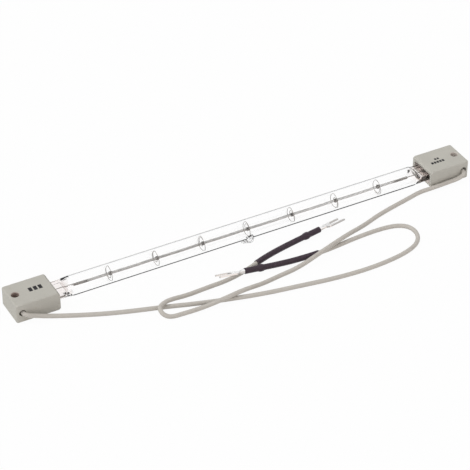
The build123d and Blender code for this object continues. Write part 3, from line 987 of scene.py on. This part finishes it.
class HEATINGTUBE_OT_stage(bpy.types.Operator):
    """Sets up the camera, the pale floor and the soft light"""

    bl_idname = "heatingtube.stage"
    bl_label = "Stage"

    def execute(self, context):
        settings = context.scene.heating_tube.stage
        self.camera(context, settings)
        self.floor(settings)
        self.surroundings(context, settings)
        self.lamps(context, settings)
        context.scene.view_settings.view_transform = "Standard"
        return {"FINISHED"}

    def camera(self, context, settings):
        """Camera that looks along its azimuth, down by its elevation, and rolls about that line."""
        azimuth, elevation, roll = settings.azimuth, settings.elevation, settings.roll
        ahead = Vector((math.sin(azimuth), math.cos(azimuth), 0)) * math.cos(elevation)
        look = ahead - Vector((0, 0, math.sin(elevation)))
        level = Vector((math.cos(azimuth), -math.sin(azimuth), 0))
        upright = level.cross(look)
        right = level * math.cos(roll) + upright * math.sin(roll)
        up = upright * math.cos(roll) - level * math.sin(roll)
        data = bpy.data.cameras.new("camera")
        data.lens = settings.lens
        data.sensor_width = 36
        data.clip_start = 0.05
        data.clip_end = 50
        camera = bpy.data.objects.new("camera", data)
        turn = Matrix((right, up, -look)).transposed()
        camera.matrix_world = Matrix.Translation(settings.place) @ turn.to_4x4()
        context.scene.collection.objects.link(camera)
        context.scene.camera = camera

    def floor(self, settings):
        """Pale floor, mostly plain white so that only faint shadows show on it. What metal and glass see of
        it darkens with distance, as a table in a studio does beyond its lamps."""
        corners = np.array([(-1, -1), (1, -1), (1, 1), (-1, 1)]) * FLOOR_HALF
        corners = np.pad(corners, ((0, 0), (0, 1)), constant_values=FLOOR_TOP)
        floor = make_mesh("floor", corners, np.array([[0, 1, 2, 3]]))
        finish = Finish("pale floor", (0.86, 0.86, 0.86), 0.9)
        finish.shader.inputs["Specular IOR Level"].default_value = 0.0
        distance = finish.add("ShaderNodeVectorMath", operation="LENGTH")
        finish.join(finish.add("ShaderNodeTexCoord").outputs["Object"], distance.inputs[0])
        lit = finish.ramp(distance.outputs["Value"], settings.far, settings.near, settings.surroundings)
        finish.show(finish.shader.outputs[0], "ShaderNodeEmission", lit, settings.backdrop)
        floor.data.materials.append(finish.material)

    def surroundings(self, context, settings):
        """Even light from all round, of which metal and glass see a dark horizon and white overhead."""
        world = bpy.data.worlds.new("studio")
        world.use_nodes = True
        plain = world.node_tree.nodes["Background"]
        plain.inputs["Color"].default_value = (*WHITE, 1)
        plain.inputs["Strength"].default_value = settings.sky
        tree = NodeTree(world.node_tree)
        lit = tree.ramp(tree.coordinates("Generated")["Z"], *HORIZON, settings.surroundings)
        tree.show(plain.outputs[0], "ShaderNodeBackground", lit, 1.0)
        context.scene.world = world

    def lamps(self, context, settings):
        """Soft sun from behind and to the left, and a weak warm light from the front."""
        for name, (colour, spread, towards) in LAMPS.items():
            data = bpy.data.lights.new(name, "SUN")
            data.energy = getattr(settings, name)
            data.color = colour
            data.angle = math.radians(spread)
            lamp = bpy.data.objects.new(name, data)
            lamp.rotation_euler = Vector(towards).to_track_quat("Z", "Y").to_euler()
            context.scene.collection.objects.link(lamp)


class HEATINGTUBE_PT_panel(bpy.types.Panel):
    """Lists the steps in the order that they run"""

    bl_idname = "HEATINGTUBE_PT_panel"
    bl_label = "Heating Tube"
    bl_space_type = "VIEW_3D"
    bl_region_type = "UI"
    bl_category = "Heating Tube"

    def draw(self, context):
        for operator in OPERATORS:
            self.layout.operator(operator.bl_idname)


SETTINGS = (TubeSettings, FilamentSettings, LeadSettings, FinishSettings, StageSettings, TubeProject)
OPERATORS = (
    HEATINGTUBE_OT_stage,
    HEATINGTUBE_OT_finishes,
    HEATINGTUBE_OT_leads,
    HEATINGTUBE_OT_glass,
    HEATINGTUBE_OT_filament,
)


def register():
    """Registers the settings, the steps and the panel."""
    for cls in (*SETTINGS, *OPERATORS, HEATINGTUBE_PT_panel):
        bpy.utils.register_class(cls)
    bpy.types.Scene.heating_tube = PointerProperty(type=TubeProject)


def unregister():
    """Takes away what register added."""
    del bpy.types.Scene.heating_tube
    for cls in reversed((*SETTINGS, *OPERATORS, HEATINGTUBE_PT_panel)):
        bpy.utils.unregister_class(cls)


def main():
    """Runs every step."""
    register()
    bpy.ops.heatingtube.stage()
    bpy.ops.heatingtube.finishes()
    bpy.ops.heatingtube.leads()
    bpy.ops.heatingtube.glass()
    bpy.ops.heatingtube.filament()


if __name__ == "__main__":
    main()
